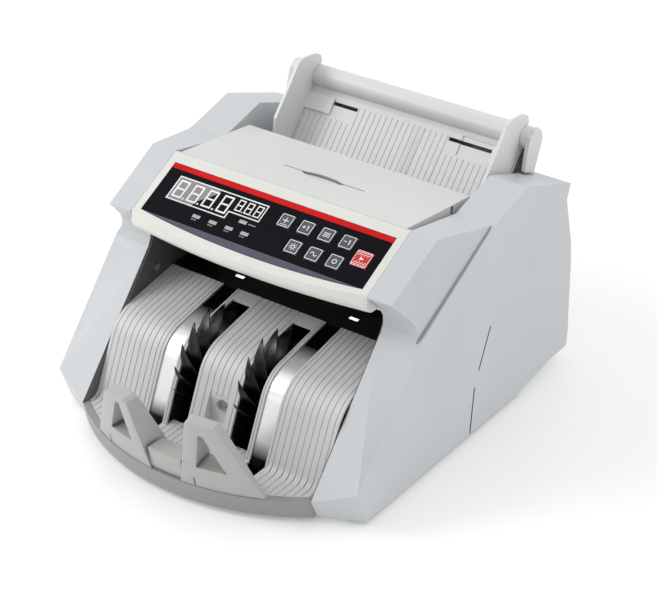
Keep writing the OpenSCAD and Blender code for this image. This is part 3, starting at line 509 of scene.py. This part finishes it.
class Print:
    """Ink on the panel, and the display window's painted highlight: thin closed shapes that lie at one height."""

    def __init__(self, height=0.0):
        self.bm = bmesh.new()
        self.low = height + PRINT_LIFT
        self.high = height + PRINT_LIFT + PRINT_THICK

    def shape(self, points):
        rings = [[on_panel(x, s, h) for x, s in points] for h in (self.low, self.high)]
        skin_rings(self.bm, rings)

    def bar(self, x0, s0, x1, s1, width):
        """A straight stroke between two points, with square ends."""
        along = Vector((x1 - x0, s1 - s0)).normalized()
        side = Vector((-along.y, along.x)) * width / 2
        ends = (Vector((x0, s0)), Vector((x1, s1)))
        self.shape([ends[0] - side, ends[1] - side, ends[1] + side, ends[0] + side])

    def outline(self, points, width):
        """A closed stroke along a polygon, mitred at its corners and inside its edge."""
        count = len(points)
        inner = []
        for i in range(count):
            here = Vector(points[i])
            back = (here - Vector(points[i - 1])).normalized()
            ahead = (Vector(points[(i + 1) % count]) - here).normalized()
            normal = Vector((-back.y, back.x)) + Vector((-ahead.y, ahead.x))
            normal.normalize()
            reach = width / max(0.3, normal.dot(Vector((-ahead.y, ahead.x))))
            inner.append(here + normal * reach)
        verts = {}
        for tag, ring in (("out", points), ("in", inner)):
            for h in (self.low, self.high):
                verts[tag, h] = [self.bm.verts.new(on_panel(p[0], p[1], h)) for p in ring]
        a, b = verts["out", self.low], verts["out", self.high]
        c, d = verts["in", self.low], verts["in", self.high]
        for i in range(count):
            j = (i + 1) % count
            for one, two in ((a, b), (b, d), (d, c), (c, a)):
                self.bm.faces.new((one[i], one[j], two[j], two[i]))

    def arc(self, x, s, radius, start, sweep, width, steps=16):
        outer, inner = [], []
        for i in range(steps + 1):
            a = math.radians(start + sweep * i / steps)
            for ring, r in ((outer, radius + width / 2), (inner, radius - width / 2)):
                ring.append((x + r * math.cos(a), s - r * math.sin(a)))
        for i in range(steps):
            self.shape([outer[i], outer[i + 1], inner[i + 1], inner[i]])

    def finish(self, name, material, body):
        add_piece(name, self.bm, material, body, smooth=False)


def seven_segments(ink, left, top, wide, tall, stroke):
    """A digit's place drawn with all its bars lit: a frame with mitred corners and its middle."""
    right, mid, low = left + wide, top + tall / 2, top + tall
    half = stroke / 2
    ink.outline([(left - half, top - half), (right + half, top - half),
                 (right + half, low + half), (left - half, low + half)], stroke)
    ink.bar(left + half + 0.12, mid, right - half - 0.12, mid, stroke)


def overlay_edge(x):
    """s of the overlay's bowed lower edge."""
    return OVERLAY_BOTTOM - OVERLAY_BOW + math.sqrt(OVERLAY_BOW ** 2 - x ** 2)


def print_overlay():
    stripe = Print()
    half, top, corner = OVERLAY_HALF - 0.15, OVERLAY_TOP + 0.15, 1.6
    stripe.shape([(-half, STRIPE_FOOT), (-half, top + corner), (-half + 0.45, top + 0.5),
                  (-half + corner, top), (half - corner, top), (half - 0.45, top + 0.5),
                  (half, top + corner), (half, STRIPE_FOOT)])
    stripe.finish("overlay_stripe", "ink_red", "chassis")

    slate = Print()
    steps = 40
    half = math.sqrt(OVERLAY_BOW ** 2 - (SLATE_TOP - OVERLAY_BOTTOM + OVERLAY_BOW) ** 2)
    half = min(half, OVERLAY_HALF - 0.3)
    for i in range(steps):
        x0, x1 = (-half + 2 * half * k / steps for k in (i, i + 1))
        slate.shape([(x0, SLATE_TOP), (x0, max(overlay_edge(x0) - 0.2, SLATE_TOP + 0.02)),
                     (x1, max(overlay_edge(x1) - 0.2, SLATE_TOP + 0.02)), (x1, SLATE_TOP)])
    bmesh.ops.remove_doubles(slate.bm, verts=slate.bm.verts, dist=0.00001)
    slate.finish("overlay_slate_band", "ink_slate", "chassis")


WINDOW_CORNERS = ((-88.5, 18.6), (-5, 18.6), (-5, 34.2), (-32.3, 34.2), (-32.3, 40.4),
                  (-88.5, 40.4))
SHEEN_LEFT = -87.5
SHEEN_TOP = 19.6
SHEEN_FOOT = 39.4
SHEEN_STEPS = 8
WINDOW_LIFT = 0.01


def paint_window_highlight():
    """Painted highlight: the paler left part of the window, with a wavy right edge, drawn as a grey film in place
    of a reflection on the window.
    """
    sheen = Print(-0.045)
    edge = []
    for i in range(SHEEN_STEPS + 1):
        t = i / SHEEN_STEPS
        edge.append((-49.5 - 14.5 * (3 * t * t - 2 * t ** 3),
                     SHEEN_TOP + (SHEEN_FOOT - SHEEN_TOP) * t))
    for one, two in zip(edge, edge[1:]):
        sheen.shape([(SHEEN_LEFT, one[1]), one, two, (SHEEN_LEFT, two[1])])
    bmesh.ops.remove_doubles(sheen.bm, verts=sheen.bm.verts, dist=0.000001)
    sheen.finish("window_painted_highlight", "window_highlight_paint", "chassis")


def print_digits(name, count, left, pitch, top, wide, tall, stroke, point):
    """A row of digits with a point, (x0, s0, x1, s1) from each digit's left, between each two."""
    digits = Print(WINDOW_LIFT)
    for k in range(count):
        here = left + k * pitch
        seven_segments(digits, here, top, wide, tall, stroke)
        if k < count - 1:
            x0, s0, x1, s1 = point
            digits.shape([(here + x0, s0), (here + x1, s0), (here + x1, s1), (here + x0, s1)])
    digits.finish(name, "ink_white", "chassis")


def print_window():
    paint_window_highlight()
    border = Print(WINDOW_LIFT)
    border.outline(WINDOW_CORNERS, 1.0)
    border.finish("window_outline", "ink_white", "chassis")
    print_digits("large_digits", 4, -84.8, 13.9, 22.3, 7.6, 14.2, 1.45, (9.6, 35.9, 11.2, 37.4))
    print_digits("small_digits", 3, -29.4, 8.4, 21.6, 4.7, 9.3, 1.0, (5.9, 30.6, 6.9, 31.5))


INDICATORS = ((-54.3, 46.8), (-38.8, 46.8), (-23.8, 46.8), (-9.4, 46.8), (-16.6, 38.2))


def print_indicators():
    """A frame round each indicator, and a few dashes where its label would be."""
    ink = Print()
    for x, s in INDICATORS:
        ink.outline([(x - 3.4, s - 1.4), (x + 3.4, s - 1.4), (x + 3.4, s + 1.4),
                     (x - 3.4, s + 1.4)], 0.35)
    for x, s in INDICATORS[:4]:
        for k in (-1, 0, 1):
            ink.bar(x - 1 + 1.6 * k, s + 3.0, x - 0.2 + 1.6 * k, s + 3.0, 0.8)
    for k in range(4):
        ink.bar(-11.2 + 1.7 * k, 38.4, -10.2 + 1.7 * k, 38.4, 0.9)
    ink.finish("indicator_marks", "ink_grey", "chassis")


# ---------------------------------------------------------------- keys
KEY_SIDE = 11.4
START_SIDE = 13.6
KEY_PROUD = 0.6
STEM_RADIUS = 2.5
STEM_STEPS = 28
STEM_FOOT = -5.4
KEY_PLACES = {
    "key_add": (14.4, 25.6), "key_plus": (32.5, 25.6), "key_batch": (50.8, 25.6),
    "key_minus": (69, 25.6), "key_ir": (32.5, 43.6), "key_uv": (50.8, 43.6),
    "key_clear": (69, 43.6), "key_start": (86.8, 34.5),
}


def key_symbol(ink, node, x, s):
    """Simple strokes that say what a key does, with no lettering."""
    thin = 0.62
    if node == "key_add":
        ink.bar(x - 2.6, s, x + 2.6, s, thin)
        ink.bar(x, s - 2.6, x, s - 0.32, thin)
        ink.bar(x, s + 0.32, x, s + 2.6, thin)
        ink.bar(x - 3.2, s + 3.6, x + 3.2, s + 3.6, thin * 0.7)
    elif node in ("key_plus", "key_minus"):
        ink.bar(x - 2.9, s, x - 0.5, s, thin)
        if node == "key_plus":
            ink.bar(x - 1.7, s - 1.2, x - 1.7, s - 0.32, thin)
            ink.bar(x - 1.7, s + 0.32, x - 1.7, s + 1.2, thin)
        ink.bar(x + 1.7, s - 2, x + 1.7, s + 2, thin * 1.2)
        ink.bar(x + 0.6, s - 1.3, x + 1.3, s - 1.8, thin * 0.8)
    elif node == "key_batch":
        for k in (-1, 0, 1):
            ink.bar(x - 2.8, s + 1.5 * k, x + 2.8, s + 1.5 * k, thin)
    elif node == "key_ir":
        ink.arc(x, s, 1.5, 0, 360, thin)
        for a in range(0, 360, 45):
            c, d = math.cos(math.radians(a)), math.sin(math.radians(a))
            ink.bar(x + 2.3 * c, s + 2.3 * d, x + 3.2 * c, s + 3.2 * d, thin * 0.7)
    elif node == "key_uv":
        ink.arc(x - 1.3, s, 1.3, 0, 180, thin)
        ink.arc(x + 1.3, s, 1.3, 180, 180, thin)
    elif node == "key_clear":
        ink.arc(x, s, 1.7, 0, 360, thin)


def start_symbol(ink, x, s):
    """White hatching above and below a plain red band that holds a triangle."""
    half = START_SIDE / 2 - 1.1
    band, pitch, shortest = 2.5, 2.5, 0.8
    for k in range(-4, 5):
        shift = k * pitch
        low, high = max(-half, shift - half), min(half, shift + half)
        for near, far in ((low, min(high, -band)), (max(low, band), high)):
            if far - near > shortest:
                ink.bar(x + shift - near, s + near, x + shift - far, s + far, 0.55)
    ink.shape([(x - 1.6, s - 1.7), (x + 1.9, s), (x - 1.6, s + 1.7)])


def build_key(node):
    x, s = KEY_PLACES[node]
    side = START_SIDE if node == "key_start" else KEY_SIDE
    body = node + "_cap"
    half = side / 2
    bm = bmesh.new()
    low = -OVERLAY_THICK + 0.55
    profile = ((0, low), (0, KEY_PROUD - 0.3), (0.12, KEY_PROUD - 0.08), (0.32, KEY_PROUD))
    rings = []
    for inset, height in profile:
        outline = rounded_square(half - inset, half - inset, 1.3 - inset * 0.6)
        rings.append([on_panel(x + px, s + ps, height) for px, ps in outline])
    skin_rings(bm, rings)
    stem = circle(STEM_RADIUS, STEM_STEPS)
    skin_rings(bm, [[on_panel(x + px, s + ps, h) for px, ps in stem] for h in (STEM_FOOT, low)])
    slot = "key_red" if node == "key_start" else "key_grey"
    add_piece(node + "_film", bm, slot, body, (node,), smooth=False)

    ink = Print(KEY_PROUD - PRINT_LIFT + 0.01)
    outline = [(x + px, s + ps) for px, ps in rounded_square(half - 0.4, half - 0.4, 1.0)]
    ink.outline(outline, 0.5)
    if node == "key_start":
        start_symbol(ink, x, s)
    else:
        key_symbol(ink, node, x, s)
    ink.finish(node + "_print", "ink_white", body)


# ---------------------------------------------------------------- impeller wheels
BLADES = 15
BLADE_STEPS = 14
BLADE_COLUMNS = 7
BLADE_ROOT = 13.5
BLADE_SWEEP = math.radians(58)
NARROW_FROM = 0.55
WHEEL_TURNS = {"left": 2, "right": 15}
WHEEL_RADIUS = 43.9
HUB_RADIUS = 15.0
HUB_STEPS = 60
SHAFT_RADIUS = 3.0
WHEEL_WIDTH = 13.0


def blade_ring(t, axis, phase, x_mid):
    """The section of one blade at t from root (0) to tip (1), as a ring of points.

    The blade keeps its left edge on the wheel's left rim and narrows from the right."""
    radius = BLADE_ROOT + (WHEEL_RADIUS - BLADE_ROOT) * t ** 0.95
    angle = phase - BLADE_SWEEP * t ** 1.25
    taper = max(0, (t - NARROW_FROM) / (1 - NARROW_FROM)) ** 1.7
    wide = max(WHEEL_WIDTH * (1 - taper), 0.6)
    thick = 1.4 * (1 - 0.75 * t)
    dip = 1.2 * math.sin(math.pi * min(1, t * 1.1))
    ring = []
    for layer in (1, -1):
        for k in range(BLADE_COLUMNS)[::layer]:
            u = -1 + 2 * k / (BLADE_COLUMNS - 1)
            r = radius + layer * thick / 2 + dip * (u * u - 0.5)
            r = min(r, WHEEL_RADIUS)
            y, z = r * math.cos(angle), r * math.sin(angle)
            x = x_mid - WHEEL_WIDTH / 2 + (u + 1) / 2 * wide
            ring.append(Vector((x, axis[0] + y, axis[1] + z)) * MM)
    return ring


def build_impeller(side, x_mid, axis):
    """One wheel: its blades, and a hub with broken edges round the shaft."""
    bm = bmesh.new()
    for k in range(BLADES):
        phase = math.tau * k / BLADES + math.radians(WHEEL_TURNS[side])
        skin_rings(bm, [blade_ring(i / BLADE_STEPS, axis, phase, x_mid)
                        for i in range(BLADE_STEPS + 1)])
    rings = []
    half = WHEEL_WIDTH / 2
    for r, x in ((SHAFT_RADIUS, -half), (HUB_RADIUS - 0.6, -half), (HUB_RADIUS, -half + 0.6),
                 (HUB_RADIUS, half - 0.6), (HUB_RADIUS - 0.6, half), (SHAFT_RADIUS, half)):
        rings.append([Vector((x_mid + x, axis[0] + y, axis[1] + z)) * MM
                      for y, z in circle(r, HUB_STEPS)])
    skin_rings(bm, rings + rings[:1], closed_ends=False)
    add_piece("wheel_" + side, bm, "wheel_rubber", "stacker_rotor",
              ("impeller_" + side,))


def build_impellers():
    spin = next(j for j in frame["joints"] if j["name"] == "stacker_spin")
    _, y, z = (v / MM for v in spin["pos_m"])
    for side in ("left", "right"):
        low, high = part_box("impeller_" + side)
        build_impeller(side, (low.x + high.x) / 2 / MM, (y, z))


add_camera()
add_lights()
add_floor()
dress_nodes()
for name, width in EDGE_RADII.items():
    round_edges(name, width)

print_overlay()
print_window()
print_indicators()
for node in KEY_PLACES:
    build_key(node)
build_impellers()
